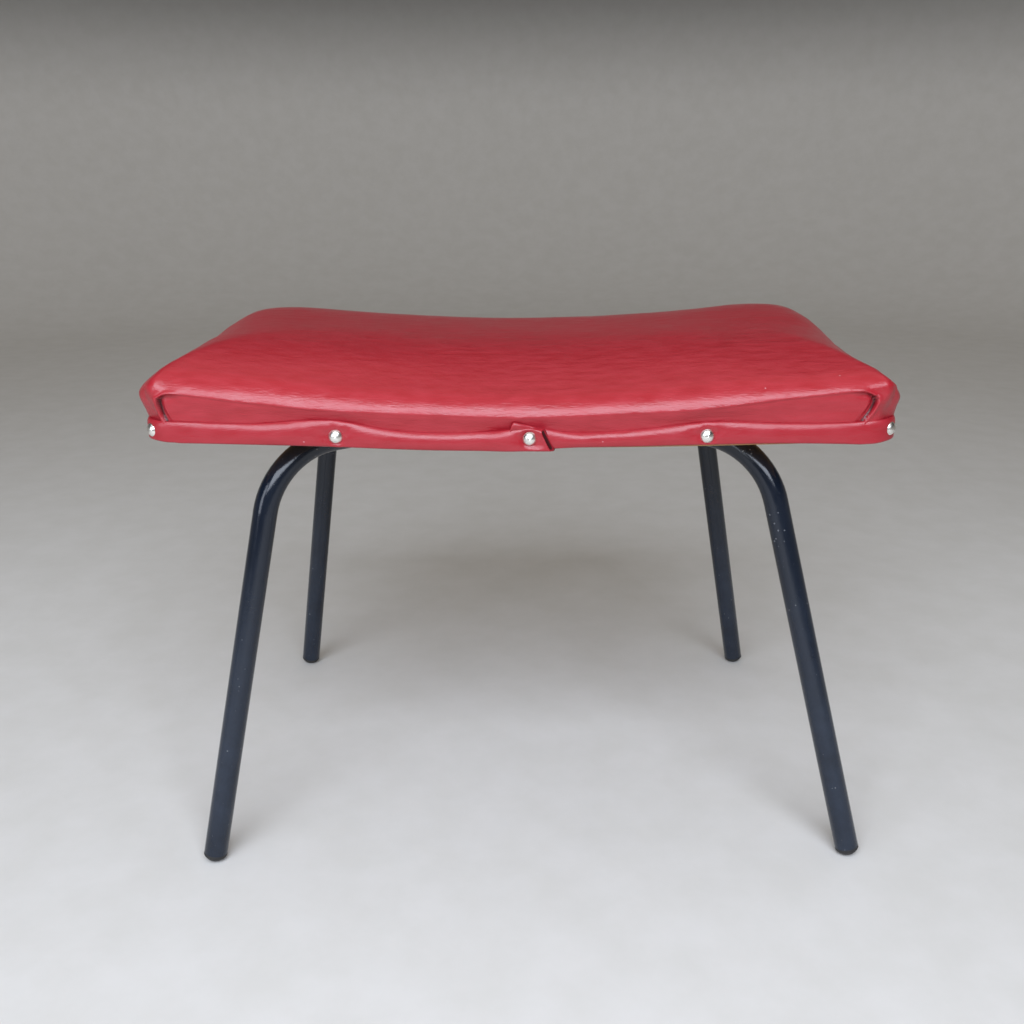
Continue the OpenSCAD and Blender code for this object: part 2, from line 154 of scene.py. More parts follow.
def stretched(tree, where, scale, rotation=(0.0, 0.0, 0.0)):
    """Coordinates that draw a pattern out along each axis whose scale is below 1."""
    sockets = {"Vector": where, "Scale": scale, "Rotation": rotation}
    return add(tree, "ShaderNodeMapping", None, sockets).outputs[0]


def cloudy(tree, where, size, detail, fine=0.5, distortion=0.0):
    """Noise between 0 and 1 whose clouds have the given size, and finer detail the given share."""
    sockets = {"Vector": where, "Scale": 1 / size, "Detail": detail}
    sockets.update({"Roughness": fine, "Distortion": distortion})
    return add(tree, "ShaderNodeTexNoise", None, sockets).outputs["Fac"]


def spotted(tree, where, spacing, smoothness=0.0):
    """Distance to the nearest of scattered points, as a share of their spacing."""
    settings, sockets = {}, {"Vector": where, "Scale": 1 / spacing}
    if smoothness:
        settings["feature"], sockets["Smoothness"] = "SMOOTH_F1", smoothness
    return add(tree, "ShaderNodeTexVoronoi", settings, sockets).outputs["Distance"]


def ranged(tree, value, low, high, to_low=0.0, to_high=1.0, curve="LINEAR"):
    """A value mapped from one range to another and cut off at its ends."""
    sockets = {"Value": value, "From Min": low, "From Max": high, "To Min": to_low, "To Max": to_high}
    return add(tree, "ShaderNodeMapRange", {"interpolation_type": curve}, sockets).outputs[0]


def combined(tree, operation, *values):
    return add(tree, "ShaderNodeMath", {"operation": operation}, dict(enumerate(values))).outputs[0]


def blended(tree, part, first, second):
    """Two colours mixed, each a socket or an sRGB hex."""
    first, second = (linear(c) if isinstance(c, str) else c for c in (first, second))
    return add(tree, "ShaderNodeMix", {"data_type": "RGBA"}, {0: part, 6: first, 7: second}).outputs[2]


def height_over_floor(tree, where):
    return add(tree, "ShaderNodeSeparateXYZ", None, {"Vector": where}).outputs["Z"]


def surface(tree, shader, colour, roughness, height, strength, depth):
    """Gives a shader its colour, its roughness and a bump of the given depth."""
    sockets = {"Height": height, "Strength": strength, "Distance": depth}
    bump = add(tree, "ShaderNodeBump", None, sockets).outputs[0]
    for name, socket in (("Base Color", colour), ("Roughness", roughness), ("Normal", bump)):
        tree.links.new(socket, shader.inputs[name])


def calendered_vinyl(name, s, bump_mm):
    """PVC leathercloth, calendered and embossed: an even satin sheen that breaks up in fine creases."""
    material, tree, shader, where = new_material(name)
    # Embossed creases run along the seat, about 6 mm long and 2 mm apart
    along = stretched(tree, where, (0.34, 1.0, 1.0))
    grain = cloudy(tree, along, 2.2 * MM, detail=5, fine=0.62, distortion=0.7)
    pebble = spotted(tree, along, 1.5 * MM, smoothness=0.6)
    # Handled areas: hand-sized clouds where the plasticiser has dulled the colour
    cloud = cloudy(tree, where, 95 * MM, detail=4, fine=0.55)
    base = blended(tree, ranged(tree, cloud, 0.36, 0.66, 0.0, 0.55), s.colour, s.deep_colour)
    # Rubbed streaks, about 6 mm wide and three times as long
    mottle = cloudy(tree, along, 6 * MM, detail=2, fine=0.42)
    mottled = blended(tree, ranged(tree, mottle, 0.3, 0.7, 0.4, 1.0), base, s.worn_colour)
    # Lint: pale specks about 1.3 mm across, some 26 mm apart
    lint = spotted(tree, where, 26 * MM)
    speckled = blended(tree, ranged(tree, lint, 0.018, 0.032, 0.45, 0.0), mottled, "#E3B7BC")
    # Painted shade: the vinyl turns near-black red in the pockets behind its folds and inside the band's
    # hollow cut end, as far as the mesh's shade attribute says
    painted_shade_fac = add(tree, "ShaderNodeAttribute", {"attribute_name": "painted_shade"}).outputs["Fac"]
    with_painted_shade = blended(tree, combined(tree, "MULTIPLY", painted_shade_fac, 0.92), speckled, "#1E0508")
    shader.inputs["IOR"].default_value = 1.53
    relief = combined(tree, "MULTIPLY_ADD", pebble, 0.35, grain)
    creased = combined(tree, "MULTIPLY_ADD", mottle, 1.5, relief)
    rough = ranged(tree, mottle, 0.3, 0.7, 0.28, 0.38)
    surface(tree, shader, with_painted_shade, rough, creased, strength=0.8, depth=bump_mm * MM)
    return material


def stoved_enamel(name, base_hex, near_floor_hex, chip_hex):
    """Stoved enamel on drawn steel tube: a dark glossy coat with orange peel, small chips, and dust with a
    painted floor reflection low down.
    """
    material, tree, shader, where = new_material(name)
    # Orange peel is about 1.5 mm from crest to crest
    peel = cloudy(tree, where, 1.5 * MM, detail=3, fine=0.55)
    haze = cloudy(tree, where, 38 * MM, detail=5, fine=0.65)
    # Chips are 0.6 to 2.4 mm across and gather where the tube was knocked
    knocks = ranged(tree, haze, 0.5, 0.72, 0.05, 0.22)
    chipped = combined(tree, "LESS_THAN", spotted(tree, where, 5.5 * MM), knocks)
    # The lower half of the legs is painted lighter and bluer: partly dust and scuffs from shoes and mops,
    # partly a painted reflection of the pale floor
    height = height_over_floor(tree, where)
    rubbed = ranged(tree, height, 0.3, 0.08, 0.25, 1.0, "SMOOTHSTEP")
    dust = combined(tree, "MULTIPLY", rubbed, ranged(tree, haze, 0.3, 0.7, 0.3, 0.95))
    dust_and_floor_reflection = blended(tree, dust, base_hex, near_floor_hex)
    coloured = blended(tree, combined(tree, "MULTIPLY", chipped, 0.55), dust_and_floor_reflection, chip_hex)
    shader.inputs["IOR"].default_value = 1.47
    relief = combined(tree, "MULTIPLY_ADD", chipped, -0.6, peel)
    rough = ranged(tree, haze, 0.3, 0.7, 0.1, 0.24)
    surface(tree, shader, coloured, rough, relief, strength=0.5, depth=0.13 * MM)
    return material


def plated_steel(name, base_hex, tarnish_hex, roughness, tarnish_mm):
    """Plated steel: bright metal that picks up the room, with patches of tarnish and hair scratches."""
    material, tree, shader, where = new_material(name)
    patch = cloudy(tree, where, tarnish_mm * MM, detail=5, fine=0.6)
    scratch_way = stretched(tree, where, (1.0, 1.0, 0.12), (0.5, 0.3, 0.2))
    scratch = cloudy(tree, scratch_way, 0.5 * MM, detail=3)
    colour = blended(tree, ranged(tree, patch, 0.48, 0.7, 0.0, 0.7), base_hex, tarnish_hex)
    shader.inputs["Metallic"].default_value = 1.0
    rough = ranged(tree, patch, 0.3, 0.75, roughness, roughness + 0.2)
    surface(tree, shader, colour, rough, scratch, strength=0.12, depth=0.03 * MM)
    return material


def moulded_rubber(name, base_hex, near_floor_hex):
    """Moulded black rubber: dull and slightly pebbled, with grey floor dust where it rubs."""
    material, tree, shader, where = new_material(name)
    pebble = cloudy(tree, where, 0.8 * MM, detail=3, fine=0.55)
    scuff = cloudy(tree, where, 7 * MM, detail=6, fine=0.7)
    low = ranged(tree, height_over_floor(tree, where), 0.0, 6 * MM, 0.8, 0.1)
    colour = blended(tree, combined(tree, "MULTIPLY", low, scuff), base_hex, near_floor_hex)
    shader.inputs["IOR"].default_value = 1.52
    rough = ranged(tree, scuff, 0.3, 0.7, 0.5, 0.8)
    surface(tree, shader, colour, rough, pebble, strength=0.4, depth=0.1 * MM)
    return material


def rotary_cut_plywood(name, light_hex, dark_hex, line_hex):
    """Bent plywood, faced with rotary-cut birch and left unpolished: a wavy figure with fine pores."""
    material, tree, shader, where = new_material(name)
    # The growth figure of a rotary-cut face is wide, and runs along the board
    along = stretched(tree, where, (0.12, 1.0, 1.0))
    figure = cloudy(tree, along, 38 * MM, detail=3, distortion=1.4)
    bands = {"wave_type": "BANDS", "bands_direction": "Y"}
    wavy = {"Vector": along, "Scale": 1 / (110 * MM), "Distortion": 9.0, "Detail": 3.0, "Detail Scale": 1.2}
    rings = add(tree, "ShaderNodeTexWave", bands, wavy).outputs["Fac"]
    pores = cloudy(tree, stretched(tree, where, (0.03, 1.0, 1.0)), 0.7 * MM, detail=3, fine=0.7)
    figured = blended(tree, combined(tree, "MULTIPLY", rings, figure), light_hex, dark_hex)
    pored = blended(tree, ranged(tree, pores, 0.52, 0.72, 0.0, 0.6), figured, line_hex)
    rough = ranged(tree, pores, 0.0, 1.0, 0.55, 0.8)
    surface(tree, shader, pored, rough, pores, strength=0.3, depth=0.1 * MM)
    return material


def matt_backdrop(name, base_hex, fleck_hex, upper_hex):
    """Matt painted studio floor, with painted shade that darkens its curved wall higher up."""
    material, tree, shader, where = new_material(name)
    mottle = cloudy(tree, where, 60 * MM, detail=6, fine=0.6)
    colour = blended(tree, ranged(tree, mottle, 0.35, 0.65), base_hex, fleck_hex)
    # Painted shade: from 0.75 m to 1.6 m up, the wall turns to the darker upper colour, as an unlit room
    # above the lamps would look
    up = ranged(tree, height_over_floor(tree, where), 0.75, 1.6, curve="SMOOTHSTEP")
    tree.links.new(blended(tree, up, colour, upper_hex), shader.inputs["Base Color"])
    shader.inputs["Roughness"].default_value = 0.75
    return material


# Settings


def measure(name, description, mm, **limits):
    """A length, given in millimetres."""
    return FloatProperty(name=name, description=description, default=mm * MM, unit="LENGTH", **limits)


def shade(name, of_what, default):
    return StringProperty(name=name, description=f"Colour of {of_what}, as sRGB hex", default=default)


class StoolCushionSettings(bpy.types.PropertyGroup):
    """Sizes and colour of the vinyl cushion."""

    pad_h: measure("Height", "Height of the cushion over the middle of the board", 50, min=20 * MM)
    saddle: measure("Saddle", "Extra height of the cushion at its two ends", 15.5)
    edge_fall: measure("Front fall", "Fall of the top from its crown to the front edge", 25.2)
    back_fall: measure("Back fall", "Fall of the top from its crown to the back edge", 36.5)
    side_fall: measure("Side fall", "Fall of the top from its crown to the side edges", 32)
    corner_lift: measure("Corner lift", "How much less the front edge falls near its corners", 2.6)
    right_lift: measure("Right lift", "Further lift of the front edge near its right corner", 2.2)
    left_tilt: measure("Left tilt", "Rise of the left end's edge from front to back", 2.5)
    right_tilt: measure("Right tilt", "Half the rise of the right end's edge from front to back", 5)
    left_sink: measure("Left sink", "How far the left end sinks in front of its middle", 1.9)
    right_sink: measure("Right sink", "How far the right end sinks in front of its middle", 4.6)
    swell: measure("Swell", "How far the side swells out past the board", 7.5)
    right_tight: measure("Right tightness", "How much less the right end swells out", 1.6)
    flap_flat: measure("Flap flatness", "How far the front flaps lie inside a round corner", 3.6)
    lip: measure("Lip", "Height of the folded vinyl's rolled lip", 1.7)
    pocket: measure("Pocket", "Depth of the hollow behind a fold's upright lip", 4)
    fold_step: measure("Fold step", "How far the front panel lies behind the folded vinyl", 0.7)
    stretch_cap: measure("Stretch", "The most that the stretched vinyl may move", 0.9)
    unevenness: measure("Unevenness", "Height of the slow waves in the vinyl", 0.45)
    colour: shade("Colour", "the vinyl", "#99121E")
    deep_colour: shade("Deep colour", "the vinyl where it was handled most", "#840C17")
    worn_colour: shade("Worn colour", "the rubbed grain", "#A32530")


class StoolBandSettings(bpy.types.PropertyGroup):
    """Sizes and colour of the folded trim band."""

    thickness: measure("Thickness", "Thickness of the folded band", 2.4)
    puff: measure("Puff", "How far the slack band stands off between two nails", 2)
    pucker: measure("Pucker", "Height of the puckers round the nails", 0.35)
    spacing: measure("Spacing", "Distance between two sections", 1.4)
    lap_start: measure("Lap start", "Where the covered end of the band starts", -8)
    flap_rise: measure("Flap rise", "How far the covered end's tip stands over the band", 6.6)
    flap_run: measure("Flap run", "How far along the band that tip reaches", 22)
    lap_end: measure("Lap end", "Where the end that lies on top stops, at its upper edge", 15.5)
    lap_slant: measure("Lap slant", "How much further the cut end reaches at its lower edge", 8.4)
    flare: measure("Flare", "How far the cut end's outer layer stands off", 2.6)
    peel: measure("Peel", "How far the cut end's inner layer reaches past the outer one", 4.2)
    colour: shade("Colour", "the band", "#97131F")
    deep_colour: shade("Deep colour", "the band where it was handled most", "#83101A")
    worn_colour: shade("Worn colour", "the rubbed grain", "#9C222D")


class StoolFrameSettings(bpy.types.PropertyGroup):
    """Finishes of the tubes, the fasteners, the board and the feet."""

    enamel: shade("Enamel", "the enamel", "#08101C")
    nickel: shade("Nickel", "the nail heads", "#F0EEE8")
    plywood: shade("Plywood", "the board", "#B98F5C")
    rubber: shade("Rubber", "the feet", "#1A1A1C")


class StoolStageSettings(bpy.types.PropertyGroup):
    """Floor, lamps and camera."""

    floor: shade("Floor", "the floor", "#D8D6D2")
    floor_fleck: shade("Floor fleck", "the floor's faint mottle", "#D3D1CC")
    # The upper wall's dark grey is painted shade
    upper_wall: shade("Upper wall", "the wall's upper part", "#5C5B58")
    front_power: FloatProperty(
        name="Front lamp", description="Power of the wide lamp in front", default=57.0, unit="POWER"
    )
    left_power: FloatProperty(
        name="Left lamp", description="Power of the low lamp on the left", default=19.0, unit="POWER"
    )
    sky: FloatProperty(name="Sky", description="Strength of the even light from all round", default=0.5)
    lens: FloatProperty(name="Lens", description="Focal length of the camera", default=36.02)


# The cushion


class Lattice:
    """A grid over the board's rounded outline. Its border runs anticlockwise from the front left corner."""

    def __init__(self, wide, fine, deep, corner_x, corner_y):
        fold_zone = 24 * MM
        coarse = np.linspace(0, STRAIGHT_X - fold_zone, wide + 1)
        dense = np.linspace(STRAIGHT_X - fold_zone, STRAIGHT_X, fine + 1)[1:]
        self.share_x = np.concatenate([coarse, dense]) / STRAIGHT_X
        self.share_y = np.linspace(0, 1, deep + 1)
        self.corner_x, self.corner_y = corner_x, corner_y
        self.last_i = wide + fine + corner_x
        self.last_j = deep + corner_y
        self.row = 2 * self.last_i + 1
        self.rows = 2 * self.last_j + 1
        a, b = self.last_i, self.last_j
        i, j = np.meshgrid(np.arange(-a, a + 1), np.arange(-b, b + 1))
        self.i, self.j = i.ravel(), j.ravel()
        border = (
            [(k, -b) for k in range(-a, a)]
            + [(a, k) for k in range(-b, b)]
            + [(k, b) for k in range(a, -a, -1)]
            + [(-a, k) for k in range(b, -b, -1)]
        )
        self.border_i, self.border_j = np.array(border).T
        self.border_at = [int(n) for n in (self.border_i + a) + (self.border_j + b) * self.row]

    def place(self, i, j, corner_r, out):
        """Points of the grid that fills an outline with corners of corner_r, moved outwards by out."""
        i, j = np.asarray(i), np.asarray(j)
        count_x, count_y = len(self.share_x) - 1, len(self.share_y) - 1
        cu = np.maximum(0, np.abs(i) - count_x) / self.corner_x
        cv = np.maximum(0, np.abs(j) - count_y) / self.corner_y
        big = np.maximum(cu, cv)
        safe = np.where(big > 0, big, 1.0)
        turn = np.where(cv >= cu, 90 - 45 * cu / safe, 45 * cv / safe)
        turn = np.radians(np.where(big > 0, turn, 0.0))
        reach = (corner_r + out) * big
        straight_x = (HALF_W - corner_r) * self.share_x[np.minimum(np.abs(i), count_x)]
        straight_y = (HALF_D - corner_r) * self.share_y[np.minimum(np.abs(j), count_y)]
        x = straight_x + reach * np.cos(turn) * (cu > 0)
        y = straight_y + reach * np.sin(turn) * (cv > 0)
        return np.sign(i) * x, np.sign(j) * y

    def border_points(self, corner_r):
        """The outline's points and its outward directions."""
        probe = 10 * MM
        x0, y0 = self.place(self.border_i, self.border_j, corner_r, 0.0)
        x1, y1 = self.place(self.border_i, self.border_j, corner_r, probe)
        return x0, y0, (x1 - x0) / probe, (y1 - y0) / probe

    def faces(self, first=0, upward=True):
        grid = first + np.arange(self.row * self.rows).reshape(self.rows, self.row)
        a, b, c, d = grid[:-1, :-1], grid[:-1, 1:], grid[1:, 1:], grid[1:, :-1]
        quads = np.stack([a, b, c, d] if upward else [a, d, c, b], -1)
        return [tuple(int(n) for n in q) for q in quads.reshape(-1, 4)]


def crown(x, y, s):
    """Height of the cushion's top: a saddle that turns down to its four sides, sharpest at the front."""
    u = np.abs(x) / (HALF_W - MM)
    v = np.abs(y) / (HALF_D - MM)
    ends = smooth(60 * MM, 255 * MM, np.abs(x))
    fall_x = s.side_fall * u**12
    middle = smooth(150 * MM, 60 * MM, np.abs(x))
    shoulder = smooth(205 * MM, 250 * MM, np.abs(x))
    behind = smooth(0, 100 * MM, y) * (5 * middle + 17 * shoulder)
    lifted = (s.corner_lift + np.where(x > 0, s.right_lift, 0.0)) * ends
    front_fall = (s.edge_fall - lifted) * v ** (2.75 + np.where(x < 0, 0.9, 0.3) * ends)
    # The back bends down over three quarters of its depth, and falls on evenly
    bend, power = 0.75, 3.5
    bent = np.minimum(v, bend)
    back_fall = (s.back_fall + behind * MM) * (bent**power + power * bend ** (power - 1) * (v - bent))
    fall_y = np.where(y < 0, front_fall, back_fall)
    # The back corners are worn rounder than the front ones
    square = 1.55 + 6.45 * smooth(70 * MM, -50 * MM, y)
    fall = (fall_x**square + fall_y**square) ** (1 / square)
    # The foam is a little uneven: both ends rise to the back, and sink in front of the middle
    along = y / HALF_D
    sunk = np.exp(-(((y + 85 * MM) / (82 * MM)) ** 4))
    right = s.right_tilt * along - s.right_sink * sunk - MM
    left = s.left_tilt * (along - 1) / 2 - s.left_sink * sunk
    uneven = np.where(x > 0, right, left) * smooth(0.45, 1.0, u)
    return top_z(x) + s.pad_h + s.saddle * u**2 - fall + uneven


# The corner folds of the long sides: the folded vinyl's lower edge over the distance from the middle,
# then its upright ends over the height. Heights are over the board's underside
FOLD_X = np.array([0, 30, 56, 95, 132, 160, 181, 199, 219, 236, 257, 275, 300]) * MM
FOLD_Z = np.array([25.6, 26.6, 27.4, 29.1, 30.7, 32.7, 35.0, 37.3, 39.2, 41.2, 43.4, 45.4, 46.0]) * MM
UPRIGHT_Z = np.array([20, 22.5, 28.5, 35, 39, 42, 46]) * MM
LEFT_UPRIGHT_X = np.array([272.0, 273.2, 276.1, 277.3, 276.9, 275.2, 272.0]) * MM
RIGHT_UPRIGHT_X = np.array([262.6, 264.0, 268.4, 271.2, 271.0, 268.4, 264.0]) * MM


def fold_height(x):
    """Height of the folded vinyl's lower edge: the right fold was pulled higher than the left one."""
    higher = np.where(x > 0, 2.4 * smooth(90 * MM, 210 * MM, x), 0.8 * smooth(200 * MM, 260 * MM, -x))
    return UNDER_Z + np.interp(np.abs(x), FOLD_X, FOLD_Z) + higher * MM


# The top's rounded edge starts this far inside the board's outline
ROLL = 12 * MM


def bezier(p0, p1, p2, p3, t):
    t = t[:, None]
    return (1 - t) ** 3 * p0 + 3 * (1 - t) ** 2 * t * p1 + 3 * (1 - t) * t**2 * p2 + t**3 * p3


def side_profile(start_z, wide_z, low_z, slope, swell, lean, foot_out):
    """Points (out, z) down the side: over the rounded edge, round the swell and in to the band."""
    start, wide, foot = np.array([-ROLL, start_z]), np.array([swell, wide_z]), np.array([foot_out, low_z])
    away = np.array([1.0, -slope]) / math.hypot(1, slope)
    down = np.array([math.sin(lean), -math.cos(lean)])
    # Both handles as for an arc, and short of the point where the two tangents meet
    to_meet = np.linalg.solve(np.column_stack([away, down]), wide - start)
    turn = math.pi / 2 - lean - math.atan(slope)
    handle = np.hypot(*(wide - start)) / (3 * math.cos(turn / 4) ** 2)
    first, last = np.minimum(handle, 0.8 * np.maximum(to_meet, MM))
    upper = bezier(start, start + away * first, wide - down * last, wide, np.linspace(0, 1, 120))
    rest = wide_z - low_z
    tuck = np.array([0.5 * MM, 0.3 * rest])
    lower = bezier(wide, wide - np.array([0, 0.3 * rest]), foot + tuck, foot, np.linspace(0, 1, 60))
    return np.vstack([upper, lower[1:]])


def sample_profile(points, fold_z, counts):
    """Rows of a side: spread over its length, and close together where the fold's edge lies."""
    length = np.concatenate([[0], np.cumsum(np.hypot(*np.diff(points, axis=0).T))])
    total = length[-1]
    at_fold = np.clip(np.interp(-fold_z, -points[:, 1], length), 0.15 * total, 0.85 * total)
    before, after = min(4 * MM, at_fold * 0.8), min(5 * MM, (total - at_fold) * 0.8)
    ends = (0, at_fold - before, at_fold + after, total)
    stations = np.concatenate([np.linspace(a, b, n + 1)[1:] for a, b, n in zip(ends, ends[1:], counts)])
    out, z = (np.interp(stations, length, column) for column in points.T)
    return out, z, stations / total


def inside_fold(x, z):
    """Distance into the pocket from its lip, nearness to the upright lip, and depth under the fold."""
    left, right = (np.interp(z - UNDER_Z, UPRIGHT_Z, ends) for ends in (LEFT_UPRIGHT_X, RIGHT_UPRIGHT_X))
    side = np.where(x < 0, left, right) - np.abs(x)
    below = fold_height(x) - z
    # The lip turns from its upright end to its lower edge in an arc
    arc = 8 * MM
    rounded = arc - np.hypot(np.maximum(arc - side, 0), np.maximum(arc - below, 0))
    inside = np.where((side < arc) & (below < arc), rounded, np.minimum(side, below))
    return inside, smooth(20 * MM, 6 * MM, side), smooth(MM, 8 * MM, below)


def fold_relief(x, z, s):
    """How far the vinyl of a long side stands out or lies back, and how much shade is painted into its
    folds.
    """
    inside, near_end, lower = inside_fold(x, z)
    along_top = 0.35 + 0.65 * smooth(80 * MM, 215 * MM, np.abs(x))
    ridge_width = np.where(inside < 0, 2.3 * MM, 1.2 * MM)
    lip = s.lip * near_end * bell(inside, ridge_width)
    deepest = 2.2 * MM
    falling, rising = smooth(0.8 * MM, deepest, inside), smooth(7.5 * MM, 2.4 * MM, inside)
    gap = s.pocket * near_end * lower * np.where(inside < deepest, falling, rising)
    panel = s.fold_step * along_top * smooth(0.2 * MM, 2.2 * MM, inside)
    # Painted shade in the pocket behind the upright lip, about 1 to 4.6 mm in from the lip, where its
    # shadow falls
    painted_shade = near_end * lower * smooth(0.9 * MM, 1.8 * MM, inside) * smooth(4.6 * MM, 2.2 * MM, inside)
    return lip - gap - panel, painted_shade


def cushion_points(lattice, s, counts, folds=True):
    """The top's grid, the side's rings down to the hem, the underside, and the painted shade at each point.
    """
    top_r, wide_r = 16 * MM, 11.5 * MM
    x, y = lattice.place(lattice.i, lattice.j, top_r, -ROLL)
    top = np.column_stack([x, y, crown(x, y, s)])
    top_x, top_y, nx, ny = lattice.border_points(top_r)
    crease_x, crease_y, _, _ = lattice.border_points(wide_r)
    band_x, band_y, _, _ = lattice.border_points(CORNER_R)
    step = 0.5 * MM
    start_x, start_y = top_x - nx * ROLL, top_y - ny * ROLL
    start_z = crown(start_x, start_y, s)
    slope = np.clip((crown(start_x - nx * step, start_y - ny * step, s) - start_z) / step, 0.02, 2.5)
    edge_z = crown(crease_x - nx * MM, crease_y - ny * MM, s)
    facing = smooth(0.3, 0.8, np.abs(ny))
    # The right end was drawn tighter than the left one
    swell = s.swell - s.right_tight * smooth(215 * MM, 280 * MM, crease_x)
    fold_z = fold_height(crease_x + nx * swell)
    seen_x = np.where(ny < 0, 1.0, -1.0) * np.clip(band_x, -HALF_W, HALF_W)
    low = UNDER_Z + soft_curve(BAND_X, BAND_TOP, seen_x) * facing + 20 * MM * (1 - facing) - 1.5 * MM
    wide = (edge_z - 10 * MM) * (1 - facing) + fold_z * facing
    wide = np.minimum(wide, start_z - 1.15 * slope * (swell + ROLL))
    foot_out = (2.3 + 1.6 * smooth(268 * MM, 292 * MM, np.abs(crease_x))) * MM
    lean = math.radians(14) * facing * smooth(280 * MM, 262 * MM, np.abs(crease_x))
    wide = np.maximum(wide, low + 5 * MM)
    sampled = []
    for k, fold in enumerate(fold_z):
        profile = side_profile(start_z[k], wide[k], low[k], slope[k], swell[k], lean[k], foot_out[k])
        sampled.append(sample_profile(profile, fold, counts))
    rings, painted_shades = [], []
    for out, z, share in zip(*(np.array(part).T for part in zip(*sampled))):
        first, last = smooth(0.0, 0.45, share), smooth(0.5, 0.95, share)
        bx = top_x * (1 - first) + crease_x * (first - last) + band_x * last
        by = top_y * (1 - first) + crease_y * (first - last) + band_y * last
        painted_shade = np.zeros(len(nx))
        out = out - s.flap_flat * np.abs(2 * nx * ny) ** 1.7 * (ny < 0) * first
        if folds:
            relief, painted_shade = fold_relief(bx + nx * out, z, s)
            out = out + np.maximum(relief * facing, np.minimum(0.9 * MM - out, 0.0))
        rings.append(np.column_stack([bx + nx * out, by + ny * out, z]))
        painted_shades.append(painted_shade * facing)
    # The hem ends just above the board's lower edge, and a slit parts the vinyl from the wood
    slit = 0.35 * MM
    hem_z = under_z(band_x) + 2 * MM
    board_z = top_z(band_x)
    tucks = ((2.6 * MM, board_z - 5 * MM), (1.6 * MM, hem_z), (slit, hem_z), (slit, board_z - MM))
    for out, z in tucks:
        rings.append(np.column_stack([band_x + nx * out, band_y + ny * out, z]))
        painted_shades.append(np.zeros(len(nx)))
    ux, uy = lattice.place(lattice.i, lattice.j, CORNER_R, slit)
    underside = np.column_stack([ux, uy, top_z(ux) + slit])
    return top, rings, underside, np.concatenate([np.zeros(len(top)), *painted_shades, np.zeros(len(underside))])


def cushion_mesh(lattice, s, counts, folds=True):
    """Points and faces of the closed cushion, the places that the band or the board holds, and the painted
    shade.
    """
    top, rings, underside, painted_shade = cushion_points(lattice, s, counts, folds)
    loop = len(lattice.border_at)
    runs = [lattice.border_at]
    runs += [list(range(len(top) + k * loop, len(top) + (k + 1) * loop)) for k in range(len(rings))]
    first_under = len(top) + loop * len(rings)
    runs.append([first_under + n for n in lattice.border_at])
    faces = lattice.faces()
    for above, below in zip(runs, runs[1:]):
        faces += ring_faces(above, below)
    faces += lattice.faces(first_under, upward=False)
    held_rings = 5
    held = np.ones(first_under + len(underside), bool)
    held[: len(top) + loop * (len(rings) - held_rings)] = False
    return np.vstack([top, *rings, underside]), faces, held, painted_shade


def stretched_vinyl(s):
    """Lets a coarse cushion swell against its nailed edge. Returns its points and how they moved."""
    coarse = Lattice(wide=30, fine=4, deep=20, corner_x=6, corner_y=5)
    points, faces, held, _ = cushion_mesh(coarse, s, (3, 3, 3), folds=False)
    cage = show_mesh("stretching_vinyl", points, faces, [])
    group = cage.vertex_groups.new(name="held")
    group.add([int(n) for n in np.flatnonzero(held)], 1.0, "REPLACE")
    cloth = cage.modifiers.new("vinyl", "CLOTH")
    made = cloth.settings
    made.quality = 6
    made.mass = 0.4
    made.tension_stiffness = made.compression_stiffness = 25
    made.shear_stiffness = 8
    made.bending_stiffness = 2.0
    made.use_pressure = True
    made.uniform_pressure_force = 4.0
    made.shrink_min = -0.012
    made.vertex_group_mass = "held"
    made.effector_weights.gravity = 0
    cloth.collision_settings.use_collision = False
    last_frame = 20
    cloth.point_cache.frame_end = last_frame
    scene = bpy.context.scene
    for number in range(1, last_frame + 1):
        scene.frame_set(number)
    moved = cage.evaluated_get(bpy.context.evaluated_depsgraph_get())
    after = np.zeros(len(points) * 3)
    moved.data.vertices.foreach_get("co", after)
    bpy.data.objects.remove(cage)
    scene.frame_set(1)
    shift = after.reshape(-1, 3) - points
    length = np.linalg.norm(shift, axis=1)
    cap = s.stretch_cap
    shift *= (cap * np.tanh(length / cap) / np.maximum(length, 1e-9))[:, None]
    return points, shift


def carried(points, sources, shifts):
    """How far points move with the nearest points of a coarser mesh."""
    tree = kdtree.KDTree(len(sources))
    for number, place in enumerate(sources):
        tree.insert(place, number)
    tree.balance()
    spread, neighbours = 9 * MM, 9
    moved = np.empty_like(points)
    for number, place in enumerate(points):
        near = tree.find_n(place, neighbours)
        weights = bell(np.array([gap for _, _, gap in near]), spread) + 1e-9
        moved[number] = weights @ shifts[[n for _, n, _ in near]] / weights.sum()
    return moved


def unevenness(points, size):
    """Slow waves between -1 and 1, the same on each run."""
    return np.array([noise.noise(Vector(p) / size) for p in points])


class STOOL_OT_cushion(bpy.types.Operator):
    """Builds the vinyl cushion with its crown, drawn-in sides and corner folds"""

    bl_idname = "stool.cushion"
    bl_label = "Build the cushion"

    def execute(self, context):
        s = context.scene.stool_cushion
        lattice = Lattice(wide=52, fine=40, deep=34, corner_x=26, corner_y=8)
        points, faces, held, painted_shade = cushion_mesh(lattice, s, (14, 20, 10))
        vinyl = calendered_vinyl("calendered_vinyl", s, bump_mm=0.34)
        cushion = show_mesh("vinyl_cushion", points, faces, [vinyl], painted_shade)
        normals = np.zeros(len(points) * 3)
        cushion.data.vertices.foreach_get("normal", normals)
        normals = normals.reshape(-1, 3)
        # Hand-stretched vinyl is never quite even: slow waves, and shallower ones between them
        waves = s.unevenness * unevenness(points, 46 * MM)
        waves += 0.35 * s.unevenness * unevenness(points, 14 * MM)
        free = np.where(held, 0.0, 1.0)
        shift = normals * (waves * free)[:, None]
        sources, shifts = stretched_vinyl(s)
        shift += carried(points, sources, shifts) * free[:, None]
        cushion.data.vertices.foreach_set("co", (points + shift).ravel())
        cushion.data.update()
        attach(cushion, "root")
        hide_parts("seat_cover", "foam_pad")
        return {"FINISHED"}


# The trim band

